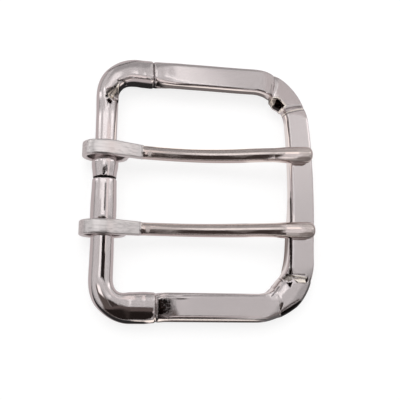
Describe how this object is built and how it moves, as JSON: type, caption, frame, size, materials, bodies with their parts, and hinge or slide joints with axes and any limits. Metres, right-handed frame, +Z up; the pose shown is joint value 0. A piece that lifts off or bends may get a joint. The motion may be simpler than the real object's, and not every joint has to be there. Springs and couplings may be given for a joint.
{
  "type": "double prong belt buckle",
  "caption": "Heel-bar belt buckle: a bevelled metal frame closed by a round bar with rounded elbows, with prongs that turn on the bar and rest on the front rail.",
  "frame": {"origin": "middle of the whole buckle's outline, on the surface that it lies on", "axes": "+X from the round bar to the front rail, +Y along the bar, +Z up out of the show face"},
  "size_m": [0.0454, 0.0508, 0.0071],
  "materials": {
    "plated_frame": "bright nickel plate, slightly warm, polished with faint uneven flow",
    "plated_prong": "bright nickel plate over a bent and pressed strip, with soft drawing marks"
  },
  "bodies": {
    "frame": {"frame": "plated_frame"},
    "upper_prong": {"upper_prong": "plated_prong"},
    "lower_prong": {"lower_prong": "plated_prong"}
  },
  "joints": [
    {"name": "upper_prong_turn", "type": "hinge", "parent": "frame", "child": "upper_prong", "pos_m": [-0.01833, 0.0064, 0.0032], "axis": [0, -1, 0], "range_deg": [0, 170]},
    {"name": "lower_prong_turn", "type": "hinge", "parent": "frame", "child": "lower_prong", "pos_m": [-0.01833, -0.0085, 0.0032], "axis": [0, -1, 0], "range_deg": [0, 170]}
  ]
}
